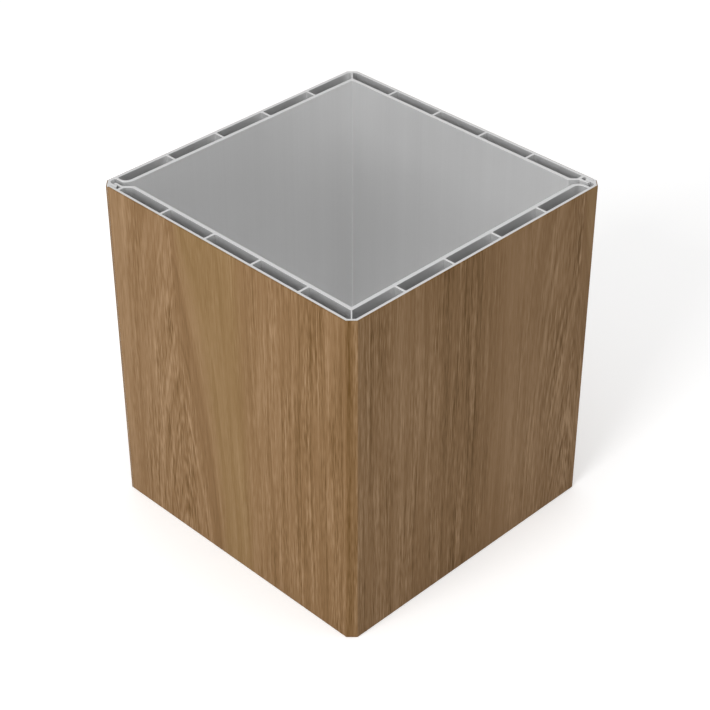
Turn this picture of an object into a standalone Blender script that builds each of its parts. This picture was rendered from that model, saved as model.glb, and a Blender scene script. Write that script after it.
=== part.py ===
"""A porch column wrap: two equal L-shaped hollow extrusions that snap together around a square post.

Metres, +Z up. The box stands on its cut end, and the origin is the middle of that end. Each half is
one plan outline with a row of chambers, drawn up to the cut length. The front half lies on the -Y and
+X sides, and the back half is the same extrusion turned half round.
"""

import math

import bmesh
import bpy

# The closed box
OUTSIDE = 0.2794  # across opposite outer faces, 11 in
LENGTH = 0.3048  # length that the extrusion is cut to, 12 in
CORNER_CHAMFER = 0.00635  # leg of the flat on each outer corner, 1/4 in

# The hollow wall
WALL = 0.015875  # outer face to inner face, 5/8 in
SKIN = 0.003175  # outer skin and inner skin, 1/8 in
RIB = 0.002  # ribs that tie the skins together
CORNER_WEB = 0.001  # web across the solid corner
BAYS = 5  # chambers in one leg
CHAMBER_FILLET = 0.0008  # inside corners of the chambers

# The snap joint: a barbed tongue on one leg, and a slot behind the other leg's skin
FIT = 0.0003  # clearance wherever the two halves face each other
END_WALL = 0.0024  # wall that closes the last chamber of a leg
FLUSH_LAND = 0.0016  # strip beside the chamfer, before the tongue steps back
TONGUE = 0.0024  # thickness of the tongue
BARB_RISE = 0.0009  # height of the barb over the tongue
BARB_LENGTH = 0.00335  # from the barb's back to the tongue's tip
FINGER = 0.0018  # thickness of the springy finger over the tongue
HOOK_LENGTH = 0.002  # length of the hook on the finger's tip
SLOT_SPARE = 0.0027  # empty slot past the tongue's tip
SHOULDER_GAP = 0.0035  # open channel between the two end walls
SHOULDER_RADIUS = 0.009  # round from the tongue leg's end wall into its inner skin
SLOPE_RADIUS = 0.003  # rounds at both ends of the socket leg's slope

ARC_STEP = math.radians(18)  # the most that one facet of a round turns
MOST_OF_AN_EDGE = 0.75  # a round takes at most this share of the edges beside it

HALF = OUTSIDE / 2
CHAMFER_INSIDE = CORNER_CHAMFER + SKIN * math.sqrt(2)  # u + v along the inner side of the chamfer

# Depths from the outer face, across the joint
TONGUE_OUTER = SKIN + FIT
TONGUE_INNER = TONGUE_OUTER + TONGUE
BARB_TOP = TONGUE_INNER + BARB_RISE
HOOK_LIP = TONGUE_INNER + FIT
FINGER_LOWER = BARB_TOP + FIT
FINGER_UPPER = FINGER_LOWER + FINGER

# Distances from the joint's own corner, along the face that the tongue slides in
STEP = CORNER_CHAMFER + FLUSH_LAND
SKIN_EDGE = STEP + FIT
HOOK_BACK = SKIN_EDGE + HOOK_LENGTH
BARB_BACK = HOOK_BACK + FIT
TONGUE_TIP = BARB_BACK + BARB_LENGTH
SLOT_END = TONGUE_TIP + SLOT_SPARE
SOCKET_WALL_INNER = SLOT_END + END_WALL

# Distances from the joint's corner along the tongue leg
TONGUE_WALL_OUTER = FINGER_UPPER + SHOULDER_GAP
TONGUE_WALL_INNER = TONGUE_WALL_OUTER + END_WALL

# The slope that carries the socket leg's end wall up to its inner skin runs at 45 degrees, so u - v is
# constant along each of its faces.
SLOPE_INNER = SOCKET_WALL_INNER - FINGER_UPPER
SLOPE_OUTER = SLOPE_INNER - END_WALL * math.sqrt(2)


def rounded(corners):
    """The outline through these corners, each (x, y, radius), with an arc in place of each corner that has a radius."""
    points = []
    for index, (x, y, radius) in enumerate(corners):
        before_x, before_y, _ = corners[index - 1]
        after_x, after_y, _ = corners[(index + 1) % len(corners)]
        back = math.hypot(before_x - x, before_y - y)
        ahead = math.hypot(after_x - x, after_y - y)
        if not radius:
            points.append((x, y))
            continue
        back_x, back_y = (before_x - x) / back, (before_y - y) / back
        ahead_x, ahead_y = (after_x - x) / ahead, (after_y - y) / ahead
        half_angle = math.acos(back_x * ahead_x + back_y * ahead_y) / 2
        tangent = min(radius / math.tan(half_angle), MOST_OF_AN_EDGE * min(back, ahead))
        radius = tangent * math.tan(half_angle)
        middle_x, middle_y = back_x + ahead_x, back_y + ahead_y
        reach = radius / math.sin(half_angle) / math.hypot(middle_x, middle_y)
        centre_x, centre_y = x + middle_x * reach, y + middle_y * reach
        start = math.atan2(y + back_y * tangent - centre_y, x + back_x * tangent - centre_x)
        end = math.atan2(y + ahead_y * tangent - centre_y, x + ahead_x * tangent - centre_x)
        turn = math.remainder(end - start, 2 * math.pi)
        steps = math.ceil(abs(turn) / ARC_STEP)
        for step in range(steps + 1):
            angle = start + turn * step / steps
            points.append((centre_x + radius * math.cos(angle), centre_y + radius * math.sin(angle)))
    return points


def socket_end():
    """The socket leg's end in corner coordinates: u along the leg from the joint's corner, v the depth."""
    return [
        (SLOPE_OUTER + WALL, WALL, SLOPE_RADIUS),
        (SLOPE_OUTER + FINGER_UPPER, FINGER_UPPER, SLOPE_RADIUS),
        (SKIN_EDGE, FINGER_UPPER, 0),
        (SKIN_EDGE, HOOK_LIP, 0),
        (HOOK_BACK, HOOK_LIP, 0),
        (HOOK_BACK, FINGER_LOWER, 0),
        (SLOT_END, FINGER_LOWER, 0),
        (SLOT_END, SKIN, 0),
        (SKIN_EDGE, SKIN, 0),
        (SKIN_EDGE, 0, 0),
    ]


def tongue_end():
    """The tongue leg's end in corner coordinates: u the depth, v along the leg from the joint's corner."""
    neck = CHAMFER_INSIDE - TONGUE_INNER
    if neck > SKIN:
        neck_corners = [(neck, TONGUE_INNER, 0), (SKIN, CHAMFER_INSIDE - SKIN, 0)]
    else:
        neck_corners = [(SKIN, TONGUE_INNER, 0)]
    return [
        (0, CORNER_CHAMFER, 0),
        (CORNER_CHAMFER, 0, 0),
        (STEP, 0, 0),
        (STEP, TONGUE_OUTER, 0),
        (TONGUE_TIP, TONGUE_OUTER, 0),
        (TONGUE_TIP, (TONGUE_OUTER + TONGUE_INNER) / 2, 0),
        ((BARB_BACK + TONGUE_TIP) / 2, BARB_TOP, 0),
        (BARB_BACK, BARB_TOP, 0),
        (BARB_BACK, TONGUE_INNER, 0),
        *neck_corners,
        (SKIN, TONGUE_WALL_OUTER, CHAMBER_FILLET),
        (WALL, TONGUE_WALL_OUTER, SHOULDER_RADIUS),
    ]


def outline():
    """The closed outline of the front half, seen from above, anticlockwise."""
    solid_corner = [(HALF - CORNER_CHAMFER, -HALF, 0), (HALF, -HALF + CORNER_CHAMFER, 0)]
    tongue = [(HALF - u, HALF - v, radius) for u, v, radius in tongue_end()]
    inner_corner = [(HALF - WALL, -HALF + WALL, CHAMBER_FILLET)]
    socket = [(-HALF + u, -HALF + v, radius) for u, v, radius in socket_end()]
    return rounded(solid_corner + tongue + inner_corner + socket)


def chambers(end_wall, end_corners):
    """One leg's chambers in leg coordinates: distance from the solid corner's outer face, and depth.

    The bays are equal between the foot of the corner web and the middle of the end wall. The first
    follows the chamfer and the corner web, and the last ends in end_corners.
    """
    floor, roof = SKIN, WALL - SKIN
    web = CORNER_WEB / math.sqrt(2)
    foot = CHAMFER_INSIDE / 2
    bay = (end_wall - foot) / BAYS
    start = [
        (roof + web, roof, CHAMBER_FILLET),
        (foot + web / 2, foot - web / 2, 0),
        (CHAMFER_INSIDE - floor, floor, 0),
    ]
    found = []
    for number in range(1, BAYS + 1):
        if number < BAYS:
            wall = foot + number * bay - RIB / 2
            finish = [(wall, floor, CHAMBER_FILLET), (wall, roof, CHAMBER_FILLET)]
        else:
            finish = end_corners
        found.append(rounded(start + finish))
        beyond = foot + number * bay + RIB / 2
        start = [(beyond, roof, CHAMBER_FILLET), (beyond, floor, CHAMBER_FILLET)]
    return found


def socket_chambers():
    """The chambers of the leg on the -Y side. The slope cuts the last one's corner off."""
    floor, roof = SKIN, WALL - SKIN
    slope_foot = min(FINGER_UPPER, roof)
    end_corners = [
        (OUTSIDE - SOCKET_WALL_INNER, floor, CHAMBER_FILLET),
        (OUTSIDE - SLOPE_INNER - slope_foot, slope_foot, CHAMBER_FILLET),
    ]
    if slope_foot < roof:
        end_corners.append((OUTSIDE - SLOPE_INNER - roof, roof, SLOPE_RADIUS))
    legs = chambers(OUTSIDE - (SLOT_END + SOCKET_WALL_INNER) / 2, end_corners)
    return [[(HALF - along, -HALF + depth) for along, depth in chamber] for chamber in legs]


def tongue_chambers():
    """The chambers of the leg on the +X side. The last one's inner corner follows the shoulder's round."""
    inner_round = max(SHOULDER_RADIUS - SKIN, CHAMBER_FILLET)
    end_corners = [
        (OUTSIDE - TONGUE_WALL_INNER, SKIN, CHAMBER_FILLET),
        (OUTSIDE - TONGUE_WALL_INNER, WALL - SKIN, inner_round),
    ]
    legs = chambers(OUTSIDE - (TONGUE_WALL_OUTER + TONGUE_WALL_INNER) / 2, end_corners)
    return [[(HALF - depth, -HALF + along) for along, depth in chamber] for chamber in legs]


def finish(name, colour, roughness, metallic):
    material = bpy.data.materials.new(name)
    material.use_nodes = True
    shader = material.node_tree.nodes["Principled BSDF"]
    shader.inputs["Base Color"].default_value = (*colour, 1)
    shader.inputs["Roughness"].default_value = roughness
    shader.inputs["Metallic"].default_value = metallic
    return material


def coated(face):
    """True on the outer faces and corner chamfers, which carry the wood-grain coat."""
    centre = face.calc_center_median()
    tolerance = FIT / 2
    on_side = max(abs(centre.x), abs(centre.y)) > HALF - tolerance
    on_chamfer = abs(centre.x) + abs(centre.y) > OUTSIDE - CORNER_CHAMFER - tolerance
    return abs(face.normal.z) < 0.5 and (on_side or on_chamfer)


def half_mesh():
    """One extruded half: the plan filled between its outline and its chambers, drawn up to its length."""
    mesh = bpy.data.meshes.new("half_extrusion")
    work = bmesh.new()
    edges = []
    for loop in [outline(), *socket_chambers(), *tongue_chambers()]:
        corners = [work.verts.new((x, y, 0)) for x, y in loop]
        edges += [work.edges.new(pair) for pair in zip(corners, corners[1:] + corners[:1])]
    filled = bmesh.ops.triangle_fill(work, use_beauty=True, edges=edges, normal=(0, 0, -1))["geom"]
    plan = [item for item in filled if isinstance(item, bmesh.types.BMFace)]
    lifted = bmesh.ops.extrude_face_region(work, geom=plan, use_keep_orig=True)["geom"]
    top = [item for item in lifted if isinstance(item, bmesh.types.BMVert)]
    bmesh.ops.translate(work, vec=(0, 0, LENGTH), verts=top)
    bmesh.ops.recalc_face_normals(work, faces=work.faces)
    for face in work.faces:
        face.material_index = 1 if coated(face) else 0
    work.to_mesh(mesh)
    work.free()
    mesh.materials.append(finish("mill_aluminium", (0.58, 0.58, 0.58), 0.42, 1.0))
    mesh.materials.append(finish("wood_grain_coat", (0.24, 0.145, 0.075), 0.55, 0.0))
    return mesh


def build():
    for old in list(bpy.data.objects):
        bpy.data.objects.remove(old)
    wrap = bpy.data.objects.new("column_wrap", None)
    bpy.context.scene.collection.objects.link(wrap)
    mesh = half_mesh()
    for name, turn in (("front_half", 0), ("back_half", math.pi)):
        half = bpy.data.objects.new(name, mesh)
        bpy.context.scene.collection.objects.link(half)
        half.parent = wrap
        half.rotation_euler.z = turn


build()
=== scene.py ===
# %% [markdown]
# # A porch column wrap with a wood-grain coat
# The object is a square box that hides the plain post of a porch. It is two equal L-shaped pieces of
# hollow aluminium extrusion, snapped together at two opposite corners and cut square at both ends.
# The outside is coated to look like oak, and the inside is bare metal.
#
# The solids and their sizes come packed, and this script gives them their looks. Everything is in
# metres, with Z up, and the box stands on its lower cut end at the origin.

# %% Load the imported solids
import math

import bpy
import numpy as np
from mathutils import Matrix, Vector
from mathutils.geometry import delaunay_2d_cdt


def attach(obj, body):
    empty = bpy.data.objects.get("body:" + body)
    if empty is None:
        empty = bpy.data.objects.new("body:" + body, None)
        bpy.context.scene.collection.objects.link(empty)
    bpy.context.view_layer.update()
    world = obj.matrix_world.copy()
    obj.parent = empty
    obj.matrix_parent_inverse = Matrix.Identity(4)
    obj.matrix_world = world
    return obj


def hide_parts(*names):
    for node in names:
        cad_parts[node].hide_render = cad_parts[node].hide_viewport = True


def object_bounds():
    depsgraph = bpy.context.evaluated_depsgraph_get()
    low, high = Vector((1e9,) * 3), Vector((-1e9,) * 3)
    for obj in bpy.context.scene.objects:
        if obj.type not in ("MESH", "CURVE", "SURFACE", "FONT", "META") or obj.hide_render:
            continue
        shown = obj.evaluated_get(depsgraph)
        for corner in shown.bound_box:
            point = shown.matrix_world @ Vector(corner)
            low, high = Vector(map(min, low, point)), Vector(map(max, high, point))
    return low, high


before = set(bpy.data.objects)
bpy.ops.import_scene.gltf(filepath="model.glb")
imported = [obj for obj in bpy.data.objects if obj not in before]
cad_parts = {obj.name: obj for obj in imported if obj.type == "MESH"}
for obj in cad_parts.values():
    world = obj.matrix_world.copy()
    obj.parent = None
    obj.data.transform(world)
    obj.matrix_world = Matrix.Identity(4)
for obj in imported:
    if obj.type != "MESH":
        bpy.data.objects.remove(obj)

MM = 0.001
cad_low, cad_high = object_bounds()
LENGTH = cad_high.z
HALF_WIDTH = cad_high.x
print("box of the solids, mm:", [round(size / MM, 2) for size in cad_high - cad_low])

# %% [markdown]
# ## The camera
# A product photograph from above one corner shows three things at once: two coated faces, the cut
# end with its chambers, and two inner walls. A fit of the box's straight edges to the picture gave
# the camera's height, distance and focal length. The camera looks along a fixed direction, and the
# two small slides move the box within the picture without turning the view.

# %% Camera
AZIMUTH = math.radians(45.01)
ELEVATION = math.radians(35.34)
DISTANCE = 1.5683
SLIDE_RIGHT = 2.44 * MM
SLIDE_UP = -11.04 * MM
PICTURE = 710  # pixels, both ways
FOCAL_PIXELS = 1882.94
SENSOR = 36.0  # millimetres, as the lens is

toward_camera = Vector((
    math.cos(ELEVATION) * math.sin(AZIMUTH),
    -math.cos(ELEVATION) * math.cos(AZIMUTH),
    math.sin(ELEVATION),
))
camera_right = Vector((0, 0, 1)).cross(toward_camera).normalized()
camera_up = toward_camera.cross(camera_right)
target = Vector((0, 0, LENGTH / 2))
eye = target + toward_camera * DISTANCE + camera_right * SLIDE_RIGHT + camera_up * SLIDE_UP

camera = bpy.data.objects.new("camera", bpy.data.cameras.new("camera"))
camera.data.sensor_width = SENSOR
camera.data.lens = FOCAL_PIXELS / PICTURE * SENSOR
camera.matrix_world = Matrix((
    (camera_right.x, camera_up.x, toward_camera.x, eye.x),
    (camera_right.y, camera_up.y, toward_camera.y, eye.y),
    (camera_right.z, camera_up.z, toward_camera.z, eye.z),
    (0, 0, 0, 1),
))
bpy.context.scene.collection.objects.link(camera)
bpy.context.scene.camera = camera
print("lens, mm:", round(camera.data.lens, 2))

# %% [markdown]
# ## Colours and nodes
# Colours are written as a painter or a web page gives them, as sRGB hex codes. The renderer works
# with linear light, so one function turns a code into linear values. A second one adds a shader
# node, sets its options, and plugs values or other nodes' outputs into its inputs.

# %% Helpers for materials
CURVE_POWER = 2.4
CURVE_SHIFT = 0.055
FOOT_END = 0.04045  # darker than this, the sRGB curve is a straight line
FOOT_SLOPE = 12.92


def linear(code):
    """
    The linear colour of an sRGB hex code: each channel c gives ((c + shift) / (1 + shift))^power,
    or c / slope on the straight foot of the curve.
    """
    channels = np.array([int(code[place:place + 2], 16) for place in (1, 3, 5)]) / 255
    curved = ((channels + CURVE_SHIFT) / (1 + CURVE_SHIFT)) ** CURVE_POWER
    return (*np.where(channels <= FOOT_END, channels / FOOT_SLOPE, curved).tolist(), 1.0)


def add(tree, kind, inputs=None, stops=(), **options):
    """
    Adds a node. Options are its settings, inputs maps a socket's name or number to a value or an
    output, and stops are a colour ramp's (position, colour) from low to high.
    """
    node = tree.nodes.new("ShaderNode" + kind)
    for name, value in options.items():
        setattr(node, name, value)
    for socket, value in (inputs or {}).items():
        if isinstance(value, bpy.types.NodeSocket):
            tree.links.new(value, node.inputs[socket])
        else:
            node.inputs[socket].default_value = value
    if stops:
        ramp = node.color_ramp.elements
        for element, (at, colour) in zip((ramp[0], ramp[1]), (stops[0], stops[-1])):
            element.position, element.color = at, colour
        for at, colour in stops[1:-1]:
            ramp.new(at).color = colour
    return node


def new_material(name):
    """A fresh node material, its tree and its shader."""
    material = bpy.data.materials.new(name)
    material.use_nodes = True
    tree = material.node_tree
    return material, tree, tree.nodes["Principled BSDF"]


print("middle grey #808080, linear:", round(linear("#808080")[0], 3))

# %% [markdown]
# ## Floor and light
# The picture is a cut-out on white. A photographer gets that without cutting by standing the goods on
# a light table: a sheet of white acrylic that is lit a little from below. It keeps the background
# white, and it lifts the foot of the box, where a plain floor would leave it dim. The room round it is
# white too. A large soft panel stands in front of the left face, so that face is the brighter one,
# and a weak panel hangs overhead for the cut end and the upper part of the inner walls.

# %% Floor
FLOOR_SPAN = 30.0
TABLE_GLOW = 0.19


def light_table():
    """Sanded white acrylic sheet, lit from below: dull, nearly white, and softly bright by itself."""
    material, _, shader = new_material("white_acrylic_light_table")
    shader.inputs["Emission Color"].default_value = linear("#FFFFFF")
    shader.inputs["Emission Strength"].default_value = TABLE_GLOW
    shader.inputs["Base Color"].default_value = linear("#F8F8F8")
    shader.inputs["Roughness"].default_value = 0.9
    shader.inputs["Specular IOR Level"].default_value = 0.1
    return material


floor_mesh = bpy.data.meshes.new("floor")
reach = FLOOR_SPAN / 2
floor_mesh.from_pydata(
    [(-reach, -reach, 0), (reach, -reach, 0), (reach, reach, 0), (-reach, reach, 0)], [], [(0, 1, 2, 3)]
)
floor_mesh.materials.append(light_table())
floor = bpy.data.objects.new("floor", floor_mesh)
bpy.context.scene.collection.objects.link(floor)
print("floor, metres both ways:", FLOOR_SPAN)

# %% Room light and panels
ROOM_LIGHT = 0.66
PANELS = {
    # name: (place, side in metres, watts)
    "left_panel": ((0.3, -2.6, 1.5), 1.6, 60.0),
    "overhead_panel": ((0.3, 0.3, 3.0), 2.0, 15.0),
}

world = bpy.data.worlds.new("white_room")
world.use_nodes = True
world.node_tree.nodes["Background"].inputs["Color"].default_value = (1, 1, 1, 1)
world.node_tree.nodes["Background"].inputs["Strength"].default_value = ROOM_LIGHT
bpy.context.scene.world = world
bpy.context.scene.view_settings.view_transform = "Standard"

for name, (place, side, watts) in PANELS.items():
    panel = bpy.data.lights.new(name, "AREA")
    panel.shape = "SQUARE"
    panel.size = side
    panel.energy = watts
    lamp = bpy.data.objects.new(name, panel)
    lamp.location = place
    lamp.rotation_mode = "QUATERNION"
    lamp.rotation_quaternion = (target - Vector(place)).to_track_quat("-Z", "Y")
    bpy.context.scene.collection.objects.link(lamp)
print("panels:", ", ".join(PANELS))

# %% [markdown]
# ## The plan of one half
# An extrusion is one flat outline with holes in it, the same all along its length. Drawing that
# outline a second time would risk a mismatch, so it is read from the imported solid: each triangle of
# a wall that stands on the lower end has one edge there, and those edges, put end to end, are the
# closed loops of the plan. They run with the metal on their left, so a loop's outer side is always
# on its right, also in the chambers.

# %% Read the loops from a solid
DIGITS = 7  # places in metres are rounded to this many digits, so that equal corners become one
ON_FLOOR = 0.1 * MM  # lower than this counts as on the lower end


def plan_loops(solid):
    """
    The closed loops of the plan, each an array of (x, y), from the wall edges with z = 0, put end to
    end. Such an edge is in a triangle with two low corners, and runs between those two. The outline
    has the most corners and comes first.
    """
    places = np.empty(len(solid.data.vertices) * 3, np.float32)
    solid.data.vertices.foreach_get("co", places)
    places = np.round(places.reshape(-1, 3).astype(float), DIGITS)
    places, same = np.unique(places, axis=0, return_inverse=True)
    triangles = np.empty(len(solid.data.polygons) * 3, np.int32)
    solid.data.polygons.foreach_get("vertices", triangles)
    triangles = same.ravel()[triangles].reshape(-1, 3)
    low = places[triangles, 2] < ON_FLOOR
    standing = low.sum(1) == 2
    start = np.concatenate([triangles[standing & ~low[:, (k + 2) % 3], k] for k in range(3)])
    end = np.concatenate([triangles[standing & ~low[:, (k + 2) % 3], (k + 1) % 3] for k in range(3)])
    following = dict(zip(start.tolist(), end.tolist()))
    loops = []
    while following:
        first, here = following.popitem()
        walk = [first]
        while here != first:
            walk.append(here)
            here = following.pop(here)
        loops.append(places[walk, :2])
    return sorted(loops, key=len, reverse=True)


plans = {name: plan_loops(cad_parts[name]) for name in ("front_half", "back_half")}
for name, plan in plans.items():
    print(name, "loops:", len(plan), "corners:", [len(loop) for loop in plan])

# %% [markdown]
# ## Softened corners
# On the real piece no coated corner is a knife edge: powder pulls back from a sharp edge, so the
# die rounds it a little, and the saw burr is broken off before coating. A Bevel modifier could do
# this, but it would pinch the small hooks of the joint. Here the rounds go into the plan itself.
# A coated corner is replaced by a short curve that leaves one edge and runs into the next.
#
# Which edges are coated is told by where they lie: on an outer face of the box, or on the flat of
# one of its corners, where |x| + |y| is as large as it gets.

# %% Find the coated edges
ON_FACE = 0.12 * MM  # nearer than this counts as on an outer face
CORNER_SUM = np.abs(plans["front_half"][0]).sum(1).max()


def edges_of(loop):
    """Length, direction and outward normal of the edge that leaves each point. Outward is to the right."""
    step = np.roll(loop, -1, axis=0) - loop
    length = np.hypot(*step.T)
    along = step / length[:, None]
    return length, along, np.stack([along[:, 1], -along[:, 0]], axis=1)


def coated_edges(loop):
    """True where the middle of an edge lies on an outer face or on a corner flat."""
    middle = np.abs((loop + np.roll(loop, -1, axis=0)) / 2)
    return (middle.max(1) > HALF_WIDTH - ON_FACE) | (middle.sum(1) > CORNER_SUM - ON_FACE)


print("cut off each corner by its flat, mm:", round((2 * HALF_WIDTH - CORNER_SUM) / MM, 3))

# %% Round the coated corners in plan
CORNER_ROUND = 1.2 * MM
CORNER_STEPS = 4
STRAIGHT = 0.1  # radians; a smaller turn than this is no corner


def soften(loop):
    """
    The loop with a curve at each corner between two coated edges. With the corner P, and A and B
    at a tangent's length before and after it, the curve is (1-s)^2 A + 2s(1-s) P + s^2 B.
    """
    _, along, _ = edges_of(loop)
    coat = coated_edges(loop)
    before = np.roll(along, 1, axis=0)
    turn = np.arccos(np.clip((before * along).sum(1), -1, 1))
    rounded = coat & np.roll(coat, 1) & (turn > STRAIGHT)
    tangent = np.where(rounded, CORNER_ROUND * np.tan(turn / 2), 0)[:, None, None]
    s = np.linspace(0, 1, CORNER_STEPS + 1)[None, :, None]
    corner = loop[:, None]
    start = corner - tangent * before[:, None]
    end = corner + tangent * along[:, None]
    curve = (1 - s) ** 2 * start + 2 * s * (1 - s) * corner + s**2 * end
    kept = (tangent[:, :, 0] > 0) | (s[:, :, 0] == 0)
    return curve[kept]


outline = plans["front_half"][0]
print("points of the outline:", len(outline), "and softened:", len(soften(outline)))

# %% [markdown]
# ## Carrying the plan up
# The wall is the plan carried along Z. Near each end the plan also shrinks into the metal on a
# quarter circle, which eases the edge. The coat hides a larger round than the bare edges have, so
# each point of the plan has a radius of its own, and the two kinds run into each other along the
# thin edge beside the joint.

# %% The eased wall
COATED_EASE = 0.9 * MM
BARE_EASE = 0.15 * MM
EASE_STEPS = 4
quarter = np.linspace(math.pi / 2, 0, EASE_STEPS + 1)
ROW_ANGLE = np.concatenate([quarter, quarter[::-1]])[:, None]  # a wall's rows, from its foot up
UPPER_ROW = (np.arange(ROW_ANGLE.size) > EASE_STEPS)[:, None]


def wall(loop):
    """
    A loop carried from z = 0 to LENGTH, as a grid of rows by columns. At the angle t of the quarter
    circle a point with radius r moves into the metal by r(1 - cos t), and lies r(1 - sin t) from
    the cut end. At a corner the move is -(n1 + n2) / (1 + n1.n2), one unit away from both edges.
    """
    _, _, outward = edges_of(loop)
    coat = coated_edges(loop)
    earlier = np.roll(outward, 1, axis=0)
    inward = -(earlier + outward) / (1 + (earlier * outward).sum(1))[:, None]
    radius = np.where(coat | np.roll(coat, 1), COATED_EASE, BARE_EASE)
    level = radius * (1 - np.sin(ROW_ANGLE))
    z = np.where(UPPER_ROW, LENGTH - level, level)
    flat = loop + inward * (radius * (1 - np.cos(ROW_ANGLE)))[..., None]
    return np.concatenate([flat, z[..., None]], axis=2)


print("rows and columns of the outline's wall:", wall(soften(outline)).shape[:2])

# %% [markdown]
# The normals come from the same formula, so flat faces stay flat up to their rounds, and the small
# turns of a round shade as one curve. The film with the wood grain is measured on the same points,
# as a fitter would with a tape: its U runs round the box from the first coated edge, and its V is
# the height.

# %% Normals and film of a wall
SMOOTH_TURN = math.radians(30)


def wall_normals(loop):
    """
    Normals at the start and at the end of each edge: n cos t outwards and sin t towards the nearer
    cut end. At a turn under SMOOTH_TURN n is the mean of both edges' normals, weighted by length.
    """
    length, _, outward = edges_of(loop)
    earlier = np.roll(outward, 1, axis=0)
    turn = np.arccos(np.clip((earlier * outward).sum(1), -1, 1))
    soft = (turn < SMOOTH_TURN)[:, None]
    shared = np.roll(length, 1)[:, None] * earlier + length[:, None] * outward
    shared /= np.hypot(*shared.T)[:, None]
    leaving = np.where(soft, shared, outward)
    arriving = np.roll(np.where(soft, shared, earlier), -1, axis=0)
    tilt = np.where(UPPER_ROW, 1, -1) * np.sin(ROW_ANGLE)
    tilt = np.broadcast_to(tilt, (len(tilt), len(loop)))[..., None]
    return [np.concatenate([side * np.cos(ROW_ANGLE)[..., None], tilt], 2) for side in (leaving, arriving)]


def film_run(loop):
    """Distance round the box at the start and at the end of each edge, from the first coated edge."""
    length, _, _ = edges_of(loop)
    coat = coated_edges(loop)
    first = np.flatnonzero(coat & ~np.roll(coat, 1))
    shift = -first[0] if len(first) else 0
    rolled = np.roll(length, shift)
    run = np.roll(np.cumsum(rolled) - rolled, -shift)
    return run, run + length


softened = soften(outline)
film_used = film_run(softened)[1][coated_edges(softened)].max()
print("film round one half, mm:", round(film_used / MM, 1))

# %% [markdown]
# ## The cut faces
# The walls of the outline and of the ten chambers are open at both ends. A cut face closes them: a
# fill between the outline and the holes, made once from the plan at each end. A grid of squares
# would not meet the walls' points, and one big face with holes is not something a mesh can hold, so
# the fill is a Delaunay one, which joins the points that are there with well-shaped triangles.

# %% Fill a cut end
INSIDE_ONLY = 1  # the fill's own code for triangles inside the outline
WELD = 1e-7  # metres; points nearer than this would be taken as one


def cut_end(rings, normal_z):
    """
    Triangles of a cut face, turned to face along normal_z: a Delaunay fill that keeps every ring's
    edges. The first ring is the outline, and a triangle with all its corners on another ring is in
    that hole, because every chamber is convex.
    """
    sizes = [len(ring) for ring in rings]
    ring_of = np.repeat(np.arange(len(rings)), sizes)
    points = np.concatenate(rings)[:, :2]
    number = np.arange(len(points))
    last = np.cumsum(sizes) - 1
    after = number + 1
    after[last] = last - sizes + 1
    flat = [Vector(place) for place in points.tolist()]
    filled = delaunay_2d_cdt(flat, np.stack([number, after], axis=1).tolist(), [], INSIDE_ONLY, WELD)
    triangles = np.array([origin[0] for origin in filled[3]])[np.array(filled[2])]
    a, b, c = ring_of[triangles].T
    triangles = triangles[(a == 0) | (a != b) | (b != c)]
    p, q, r = (points[triangles[:, k]] for k in range(3))
    turned = np.cross(q - p, r - p) * normal_z < 0
    triangles[turned] = triangles[turned][:, ::-1]
    return triangles


print("triangles in a cut end:", len(cut_end([wall(soften(loop))[-1] for loop in plans["front_half"]], 1)))

# %% [markdown]
# ## One whole half
# A half is its walls and its two cut faces in one closed mesh. The faces get their finish by where
# they lie: coat on the outer faces, the saw's finish on the cut ends, and the die's finish on
# everything else. The back half takes its film from further along the roll, so the two halves don't
# show the same stretch of wood.

# %% Build the halves
MILL, COAT, SAWN = range(3)
FILM_STEP = 0.80  # metres of film from the front half's start to the back half's
FILM_START = {"front_half": 0.0, "back_half": FILM_STEP}


def at_corners(near, far):
    """A grid's faces by their corners: near and far in the lower row, then far and near in the upper."""
    return np.stack([near[:-1], far[:-1], far[1:], near[1:]], axis=2)


def half_piece(name, plan):
    """One half as a closed mesh: wall grids and two cut ends, with the film's map and exact normals."""
    points, faces, maps, normals, finish, numbers = [], [], [], [], [], []
    count = 0
    for loop in map(soften, plan):
        grid = wall(loop)
        z = grid[..., 2]
        number = count + np.arange(z.size).reshape(z.shape)
        count += z.size
        near, far = (np.broadcast_to(run, z.shape) for run in film_run(loop))
        u = at_corners(near, far)
        v = at_corners(z, np.roll(z, -1, axis=1))
        points.append(grid.reshape(-1, 3))
        faces.append(at_corners(number, np.roll(number, -1, axis=1)).reshape(-1, 4))
        maps.append(np.stack([u, v], axis=3).reshape(-1, 2))
        normals.append(at_corners(*wall_normals(loop)).reshape(-1, 3))
        finish.append(np.tile(np.where(coated_edges(loop), COAT, MILL), len(z) - 1))
        numbers.append(number)
    maps[0][:, 0] += FILM_START[name]
    points = np.concatenate(points)
    caps = []
    for end, normal_z in ((0, -1), (-1, 1)):
        rings = [number[end] for number in numbers]
        triangles = np.concatenate(rings)[cut_end([points[ring] for ring in rings], normal_z)]
        caps.append(triangles)
        maps.append(points[triangles.ravel(), :2])
        normals.append(np.tile([0, 0, normal_z], (triangles.size, 1)))
        finish.append(np.full(len(triangles), SAWN))
    caps = np.concatenate(caps)

    mesh = bpy.data.meshes.new(name.replace("half", "extrusion"))
    mesh.from_pydata(points.tolist(), [], np.concatenate(faces).tolist() + caps.tolist())
    mesh.polygons.foreach_set("material_index", np.concatenate(finish).astype(np.int32))
    film = mesh.uv_layers.new(name="film")
    film.uv.foreach_set("vector", np.concatenate(maps).astype(np.float32).ravel())
    mesh.shade_smooth()
    mesh.normals_split_custom_set(np.concatenate(normals).tolist())
    piece = bpy.data.objects.new(mesh.name, mesh)
    bpy.context.scene.collection.objects.link(piece)
    return piece


halves = {name: half_piece(name, plan) for name, plan in plans.items()}
for piece in halves.values():
    print(piece.name, "faces:", len(piece.data.polygons))

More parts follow.
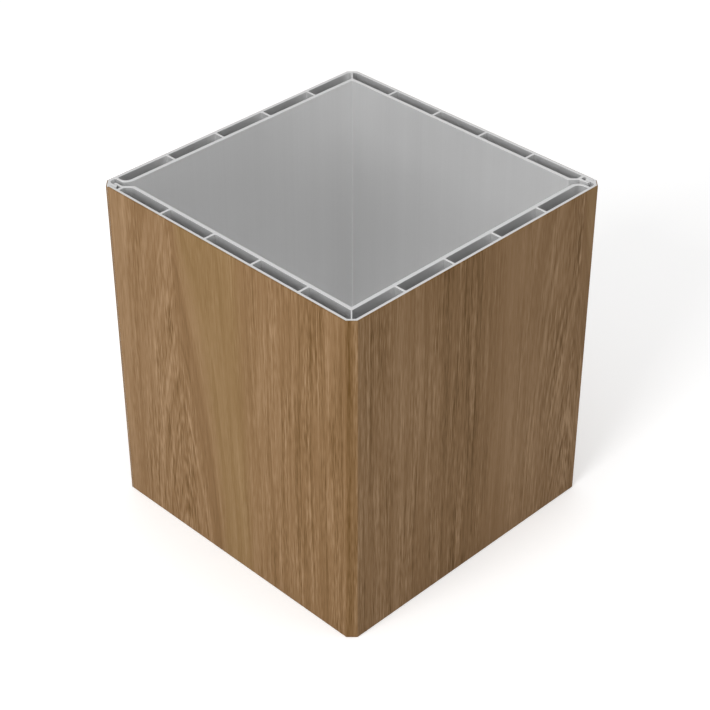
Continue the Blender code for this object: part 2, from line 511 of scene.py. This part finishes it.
# %% [markdown]
# ## The wood-grain coat
# The grain is printed in a film, and the film's dyes are baked into a matt powder coat. So the
# surface is smooth, evenly matt and never raised along the grain, and only its colour says oak.
# A picture could carry the colour, but a drawn one stays sharp at any size. The film's own map
# gives each point its distance round the box and its height, and the drawing is done in
# millimetres on that map.
#
# Flat-sawn oak shows cathedrals: pointed arches stacked up the board, with straight grain at both
# sides. They come from slicing the tapered tubes of the year rings. So the drawing needs one
# number that stays the same along each line of the grain. At a distance d from the arches' middle
# line it is d itself far out, and near the line it also grows with height, which bends the lines
# over into arches. Year rings, bands and streaks follow that number. Pores and fibres don't: they
# run up the trunk, so they stay straight, and cross the arches as short dashes.

# %% Where the grain runs
FILM_REPEAT = 449.6  # the print starts again after this many millimetres round the box
HEART = 75.8  # middle line of the arches
BLUNT = 3.5  # half the width of an arch's tip
LEAN = 0.22  # how far an arch's leg spreads for each millimetre down
LEAN_REACH = 48.0  # half the width of the board that the arches take up
LEAN_MIDDLE = 152.0  # height where the legs have no lean
SWAY = 6.0  # how far a line of the grain wanders sideways
SWAY_ACROSS, SWAY_ALONG = 45.0, 200.0  # size of one such wander


def film_place(tree):
    """The film's map in millimetres: distance round the box, height, 0."""
    film = add(tree, "UVMap", uv_map="film").outputs["UV"]
    return add(tree, "VectorMath", {0: film, "Scale": 1 / MM}, operation="SCALE").outputs[0]


def grain_place(tree, flat):
    """
    Two outputs: (g, height, distance round the box), with g the number of the grain line, and the
    place across the board that this line has at mid height. With d the distance from the nearest
    heart, g = sqrt(d^2 + BLUNT^2) + LEAN (height - LEAN_MIDDLE) exp(-(d / LEAN_REACH)^2).
    """
    stretch = (1 / SWAY_ACROSS, 1 / SWAY_ALONG, 1)
    place = add(tree, "VectorMath", {0: flat, 1: stretch}, operation="MULTIPLY").outputs[0]
    sway = add(tree, "TexNoise", {"Vector": place, "Scale": 1.0, "Detail": 1.0}).outputs["Fac"]
    parts = add(tree, "SeparateXYZ", {0: flat})
    u, height = parts.outputs[0], parts.outputs[1]
    swayed = add(tree, "Math", {0: sway, 1: 2 * SWAY, 2: u}, operation="MULTIPLY_ADD").outputs[0]

    d = add(tree, "Math", {0: swayed, 1: HEART + SWAY}, operation="SUBTRACT").outputs[0]
    d = add(tree, "Math", {0: d, 1: FILM_REPEAT / 2, 2: -FILM_REPEAT / 2}, operation="WRAP").outputs[0]
    spread = add(tree, "CombineXYZ", {0: d, 1: BLUNT}).outputs[0]
    spread = add(tree, "VectorMath", {0: spread}, operation="LENGTH").outputs["Value"]

    bell = add(tree, "Math", {0: d, 1: 1 / LEAN_REACH}, operation="MULTIPLY").outputs[0]
    bell = add(tree, "Math", {0: bell, 1: bell}, operation="MULTIPLY").outputs[0]
    bell = add(tree, "Math", {0: math.exp(-1), 1: bell}, operation="POWER").outputs[0]
    lean = add(tree, "Math", {0: height, 1: LEAN_MIDDLE}, operation="SUBTRACT").outputs[0]
    lean = add(tree, "Math", {0: lean, 1: LEAN}, operation="MULTIPLY").outputs[0]
    g = add(tree, "Math", {0: lean, 1: bell, 2: spread}, operation="MULTIPLY_ADD").outputs[0]

    side = add(tree, "Math", {0: d, 1: spread}, operation="DIVIDE").outputs[0]
    outward = add(tree, "Math", {0: g, 1: 0.0}, operation="MAXIMUM").outputs[0]
    across = add(tree, "Math", {0: side, 1: outward, 2: HEART}, operation="MULTIPLY_ADD").outputs[0]
    across = add(tree, "Math", {0: across, 1: FILM_REPEAT, 2: 0.0}, operation="WRAP").outputs[0]
    return add(tree, "CombineXYZ", {0: g, 1: height, 2: swayed}).outputs[0], across


print("an arch's leg spreads at the foot, mm:", round(LEAN * LEAN_MIDDLE, 1))

# %% [markdown]
# A board isn't the same all over. Beside the arches it is plain and a little ochre, and further
# out come bands full of open pores. One ramp across the board holds three such values in its
# three channels: how coarse the grain is, how pale the wood is, and how ochre. A second ramp turns
# paleness to the brown of oak.

# %% Across the board
BOARD = [
    # millimetres across the board, coarseness, paleness, ochre
    (0, 0.35, 0.62, 0.0),
    (42, 0.65, 0.56, 0.0),
    (60, 1.10, 0.55, 0.0),
    (80, 0.90, 0.50, 0.0),
    (90, 0.25, 0.46, 0.0),
    (100, 0.20, 0.38, 0.0),
    (104, 0.20, 0.55, 0.1),
    (118, 0.20, 0.54, 0.6),
    (146, 0.25, 0.56, 0.6),
    (158, 0.35, 0.54, 0.1),
    (185, 0.60, 0.52, 0.0),
    (225, 0.75, 0.42, 0.0),
    (262, 0.60, 0.46, 0.0),
    (293, 0.70, 0.52, 0.0),
    (325, 0.60, 0.60, 0.0),
    (350, 0.60, 0.42, 0.0),
    (400, 0.80, 0.36, 0.0),
    (428, 0.25, 0.52, 0.0),
    (449, 0.15, 0.56, 0.0),
]
OAK = [(0.0, "#563B15"), (0.5, "#725636"), (1.0, "#8B7052")]
OCHRE = "#75642C"
OCHRE_SHARE = 0.25  # of the ochre where the board's value is 1
print("stops across the board:", len(BOARD))

# %% [markdown]
# The rest is noise, stretched along the grain. A real oak pore is 0.3 mm wide, which is less than a
# pixel here, so the pores are drawn three times as wide as they are. Streaks, fibres and pores grow
# with the board's coarseness, and a noise of clumps lets them crowd together here and thin out
# there, as they do in a real board.

# %% Noises and layers of the grain
NOISES = {
    # name: (follows the arches, millimetres across, millimetres along, shift, detail)
    "patches": (False, 18, 130, 3.0, 1.0),
    "fibres": (False, 1.6, 75, 5.0, 1.0),
    "wobble": (False, 8, 40, 7.0, 2.0),
    "clumps": (False, 10, 110, 9.0, 2.0),
    "bands": (True, 12, 300, 11.0, 1.0),
    "faint": (False, 25, 90, 13.0, 1.0),
    "pores": (False, 1.0, 14, 17.0, 1.0),
    "streaks": (True, 3.2, 260, 23.0, 1.0),
}
ROUND_BOX_PER_NOISE = 30.0  # millimetres round the box after which an arch's two legs differ
NOISE_LOW, NOISE_HIGH = 0.3, 0.7  # nearly all of a noise lies between these
CLUMPS_THIN, CLUMPS_CROWDED = 0.3, 1.6  # coarseness is multiplied by a value between these
LEAST_COARSE = 0.08  # so that no stretch of the board is quite smooth
LAYERS = {
    # name: (how much it adds to the paleness, its value that adds nothing, grows with coarseness)
    "late wood": (-0.14, 0.2, False),
    "patches": (0.22, 0.5, False),
    "bands": (0.32, 0.5, False),
    "streaks": (1.1, 0.5, True),
    "fibres": (1.12, 0.5, True),
    "pores": (1.35, 0.5, True),
}
print("layers of the grain:", ", ".join(LAYERS))

# %% [markdown]
# Each year's ring ends in a thin line of dense, dark late wood. A saw-tooth of the grain number
# runs from 0 to 1 once a ring, and a ramp lets the dark build up slowly and end sharply. A wobble
# keeps the lines from being too regular, and in places they fade, as the rings of a real board do.

# %% The late wood of the year rings
RING = 15.5  # grain number from one year ring to the next
RING_START = -0.15  # in rings
RING_WOBBLE = 0.3  # in rings
LATE_WOOD = [(0.0, "#000000"), (0.45, "#6C6C6C"), (0.8, "#CBCBCB"), (0.95, "#FFFFFF"), (1.0, "#000000")]
FAINT_FROM, FAINT_TO = 0.35, 0.65  # values of the noise between which a line grows to its full dark
FAINTEST = 0.2  # share of its dark that a line keeps where it is weakest


def late_wood(tree, arched, noise):
    """How far a point is into the dark of its ring, 0 to 1, times a noise that fades it in places."""
    g = add(tree, "SeparateXYZ", {0: arched}).outputs[0]
    rings = add(tree, "Math", {0: g, 1: 1 / RING, 2: RING_START}, operation="MULTIPLY_ADD").outputs[0]
    wobble = add(tree, "Math", {0: noise["wobble"], 1: RING_WOBBLE}, operation="MULTIPLY").outputs[0]
    rings = add(tree, "Math", {0: rings, 1: wobble}, operation="ADD").outputs[0]
    phase = add(tree, "Math", {0: rings}, operation="FRACT").outputs[0]
    dark = add(tree, "ValToRGB", {"Fac": phase}, [(at, linear(code)) for at, code in LATE_WOOD])
    fade = add(tree, "MapRange", {
        "Value": noise["faint"], "From Min": FAINT_FROM, "From Max": FAINT_TO, "To Min": FAINTEST,
    }).outputs[0]
    return add(tree, "Math", {0: dark.outputs["Color"], 1: fade}, operation="MULTIPLY").outputs[0]


print("a ring on straight grain, mm:", RING)

# %% [markdown]
# The film is sucked tight round the extrusion and over its corners. A fine darker line along one side
# of the corner's flat is painted shade: the flat turns away from the light there, and the coat's colour
# carries that shade.

# %% The painted shade line at the corner
CORNER_SHADE_AT = 267.9  # millimetres from the start of a half's film to the painted shade line at its corner
CORNER_SHADE_MIDDLE = 1.0  # half the width of its dark middle
CORNER_SHADE_REACH = 3.6  # half the width where it has faded out
CORNER_SHADE_DARK = 0.25  # how much paleness it takes away


def corner_shade_line(tree, flat):
    """
    What the painted shade line at the corner adds to the paleness: minus its full dark in its middle,
    rising evenly to 0. Wrapping U at FILM_STEP gives both halves the same measure, because a half's film
    is shorter than that.
    """
    u = add(tree, "SeparateXYZ", {0: flat}).outputs[0]
    u = add(tree, "Math", {0: u, 1: FILM_STEP / MM, 2: 0.0}, operation="WRAP").outputs[0]
    away = add(tree, "Math", {0: u, 1: CORNER_SHADE_AT}, operation="SUBTRACT").outputs[0]
    away = add(tree, "Math", {0: away}, operation="ABSOLUTE").outputs[0]
    return add(tree, "MapRange", {
        "Value": away, "From Min": CORNER_SHADE_MIDDLE, "From Max": CORNER_SHADE_REACH,
        "To Min": -CORNER_SHADE_DARK, "To Max": 0.0,
    }).outputs[0]


# the crease in this print is the painted shade line at the corner
print("width of the crease, mm:", 2 * CORNER_SHADE_REACH)

# %% [markdown]
# Now the parts come together. Everything that darkens or lightens the wood is added up in one
# value, the paleness, and only then does the value become a colour. That keeps the whole print in
# the few browns of real oak, whatever falls on top of what.

# %% Draw the oak
def oak_colour(tree):
    """
    The printed colour, with a line of painted shade at the corner. Paleness is the board's own value, plus
    each layer's amount times how far the layer is from its middle, times coarseness for the fine ones,
    plus the painted shade line at the corner. A ramp turns paleness to colour, and the board's ochre is
    mixed in.
    """
    flat = film_place(tree)
    arched, across = grain_place(tree, flat)
    noise = {}
    for name, (follows, wide, long, shift, detail) in NOISES.items():
        stretch = (1 / wide, 1 / long, 1 / ROUND_BOX_PER_NOISE)
        place = add(tree, "VectorMath", {
            0: arched if follows else flat, 1: stretch, 2: (shift, shift, shift),
        }, operation="MULTIPLY_ADD").outputs[0]
        grain = add(tree, "TexNoise", {"Vector": place, "Scale": 1.0, "Detail": detail})
        noise[name] = grain.outputs["Fac"]
    noise["late wood"] = late_wood(tree, arched, noise)

    share = add(tree, "Math", {0: across, 1: 1 / FILM_REPEAT}, operation="MULTIPLY").outputs[0]
    stops = [(at / FILM_REPEAT, (coarse, pale, ochre, 1)) for at, coarse, pale, ochre in BOARD]
    board = add(tree, "ValToRGB", {"Fac": share}, stops)
    coarse, pale, ochre = add(tree, "SeparateColor", {0: board.outputs["Color"]}).outputs
    clumps = add(tree, "MapRange", {
        "Value": noise["clumps"], "From Min": NOISE_LOW, "From Max": NOISE_HIGH,
        "To Min": CLUMPS_THIN, "To Max": CLUMPS_CROWDED,
    }).outputs[0]
    coarse = add(tree, "Math", {0: coarse, 1: clumps}, operation="MULTIPLY").outputs[0]
    coarse = add(tree, "Math", {0: coarse, 1: LEAST_COARSE}, operation="ADD").outputs[0]

    for name, (amount, middle, grows) in LAYERS.items():
        swing = add(tree, "Math", {0: noise[name], 1: middle}, operation="SUBTRACT").outputs[0]
        if grows:
            swing = add(tree, "Math", {0: swing, 1: coarse}, operation="MULTIPLY").outputs[0]
        pale = add(tree, "Math", {0: swing, 1: amount, 2: pale}, operation="MULTIPLY_ADD").outputs[0]
    # painted shade: the dark line along one side of the corner's flat is taken off the paleness here
    pale = add(tree, "Math", {0: pale, 1: corner_shade_line(tree, flat)}, operation="ADD").outputs[0]

    wood = add(tree, "ValToRGB", {"Fac": pale}, [(at, linear(code)) for at, code in OAK]).outputs["Color"]
    ochre = add(tree, "Math", {0: ochre, 1: OCHRE_SHARE}, operation="MULTIPLY").outputs[0]
    return add(tree, "Mix", {"Factor": ochre, "A": wood, "B": linear(OCHRE)}, data_type="RGBA").outputs[2]


# %% [markdown]
# The oak is only a dye. What holds it is polyester powder, sprayed on dry and melted in an oven. It
# is matt, so its sheen is broad and weak, and the melt leaves an orange peel: faint waves that keep
# the sheen from lying flat like paper.

# %% Make the coat
ORANGE_PEEL = 1.6  # millimetres from one faint wave of the fused powder to the next
PEEL_HEIGHT = 0.012  # millimetres
PEEL_STRENGTH = 0.5


def wood_grain_powder_coat():
    """Matt polyester powder coat: the oak's colour, one even sheen, and the waves of the melt."""
    material, tree, shader = new_material("wood_grain_powder_coat")
    tree.links.new(oak_colour(tree), shader.inputs["Base Color"])
    place = add(tree, "TexCoord").outputs["Object"]
    peel = add(tree, "TexNoise", {"Vector": place, "Scale": 1 / (ORANGE_PEEL * MM), "Detail": 0.0})
    waves = add(tree, "Bump", {
        "Height": peel.outputs["Fac"], "Strength": PEEL_STRENGTH, "Distance": PEEL_HEIGHT * MM,
    })
    tree.links.new(waves.outputs["Normal"], shader.inputs["Normal"])
    shader.inputs["Roughness"].default_value = 0.6
    shader.inputs["Specular IOR Level"].default_value = 0.15
    return material


coat = wood_grain_powder_coat()
print("nodes in the coat:", len(coat.node_tree.nodes))

# %% [markdown]
# ## Bare aluminium, as it left the die
# Inside the box nothing is coated. The metal keeps the skin that the steel die gave it: a pale, silky
# grey with faint straight lines along the length, each one drawn by a tiny ridge in the die's
# mouth. The lines spread the light mostly sideways, so the wall reads as satin, not as a mirror. Real
# die lines lie a tenth of a millimetre apart and would not show at this size, so they are drawn
# about ten times coarser and weak.

# %% The mill finish
DIE_LINE = 1.3  # millimetres between the drawn die lines
DIE_BAND = 11.0  # and between the broader, cloudy bands
DIE_LENGTH = 500.0  # millimetres along which a line stays the same
LINE_SHIFT, BAND_SHIFT = 31.0, 37.0  # where in the noise the lines and the bands are taken from
MILL_TONE = ("#E9E9E9", "#ECECEC")
MILL_ROUGHNESS = (0.52, 0.55)


def mill_finish_aluminium():
    """Untreated extruded aluminium: lines along the length in its sheen and, barely, in its tone."""
    material, tree, shader = new_material("mill_finish_aluminium")
    flat = film_place(tree)
    drawn = []
    for apart, shift in ((DIE_LINE, LINE_SHIFT), (DIE_BAND, BAND_SHIFT)):
        place = add(tree, "VectorMath", {
            0: flat, 1: (1 / apart, 1 / DIE_LENGTH, 1), 2: (shift, shift, shift),
        }, operation="MULTIPLY_ADD").outputs[0]
        drawn.append(add(tree, "TexNoise", {"Vector": place, "Scale": 1.0, "Detail": 1.0}).outputs["Fac"])
    lines = add(tree, "Mix", {"Factor": 0.5, "A": drawn[0], "B": drawn[1]}).outputs[0]
    tones = [(NOISE_LOW, linear(MILL_TONE[0])), (NOISE_HIGH, linear(MILL_TONE[1]))]
    tone = add(tree, "ValToRGB", {"Fac": lines}, tones)
    sheen = add(tree, "MapRange", {
        "Value": lines, "From Min": NOISE_LOW, "From Max": NOISE_HIGH,
        "To Min": MILL_ROUGHNESS[0], "To Max": MILL_ROUGHNESS[1],
    })
    tree.links.new(tone.outputs["Color"], shader.inputs["Base Color"])
    tree.links.new(sheen.outputs[0], shader.inputs["Roughness"])
    shader.inputs["Metallic"].default_value = 1.0
    return material


mill = mill_finish_aluminium()
print("nodes in the mill finish:", len(mill.node_tree.nodes))

# %% [markdown]
# ## The cut ends
# A big carbide saw crops the extrusion to length, so the ends are fresh metal. Each tooth leaves one
# shallow scratch in the shape of a wide arc. The arcs catch light that the satin walls let pass,
# and the cut edge is the brightest line of the whole part. They too are drawn coarser than real.

# %% The saw-cut end
BLADE_CENTRE = (-310.0, 90.0)  # millimetres, where the saw's shaft stood as it came through
TOOTH_MARK = 0.9  # millimetres from one drawn scratch to the next
SAWN_TONE = ("#E7E7E7", "#F0F0F0")
SAWN_ROUGHNESS = (0.38, 0.55)


def saw_cut_aluminium():
    """Sawn aluminium end: arcs round the blade's shaft in its sheen and tone."""
    material, tree, shader = new_material("saw_cut_aluminium")
    place = add(tree, "TexCoord").outputs["Object"]
    from_shaft = add(tree, "VectorMath", {
        0: place, 1: (1 / MM, 1 / MM, 0), 2: (-BLADE_CENTRE[0], -BLADE_CENTRE[1], 0),
    }, operation="MULTIPLY_ADD").outputs[0]
    radius = add(tree, "VectorMath", {0: from_shaft}, operation="LENGTH").outputs["Value"]
    count = add(tree, "Math", {0: radius, 1: 1 / TOOTH_MARK}, operation="MULTIPLY").outputs[0]
    arcs = add(tree, "CombineXYZ", {0: count}).outputs[0]
    marks = add(tree, "TexNoise", {"Vector": arcs, "Scale": 1.0, "Detail": 1.0}).outputs["Fac"]
    tones = [(NOISE_LOW, linear(SAWN_TONE[0])), (NOISE_HIGH, linear(SAWN_TONE[1]))]
    tone = add(tree, "ValToRGB", {"Fac": marks}, tones)
    sheen = add(tree, "MapRange", {
        "Value": marks, "From Min": NOISE_LOW, "From Max": NOISE_HIGH,
        "To Min": SAWN_ROUGHNESS[0], "To Max": SAWN_ROUGHNESS[1],
    })
    tree.links.new(tone.outputs["Color"], shader.inputs["Base Color"])
    tree.links.new(sheen.outputs[0], shader.inputs["Roughness"])
    shader.inputs["Metallic"].default_value = 1.0
    return material


sawn = saw_cut_aluminium()
print("nodes in the saw-cut finish:", len(sawn.node_tree.nodes))

# %% [markdown]
# ## Dressing the frame
# Each half rides on the one body and stands in for its imported solid. The three finishes go on in the
# order that the faces' numbers were given: mill finish, coat, saw cut.

# %% Put the finishes on and hang the halves in the frame
for name, piece in halves.items():
    for finish in (mill, coat, sawn):
        piece.data.materials.append(finish)
    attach(piece, "root")
    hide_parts(name)
    print(piece.name, "stands in for", name)
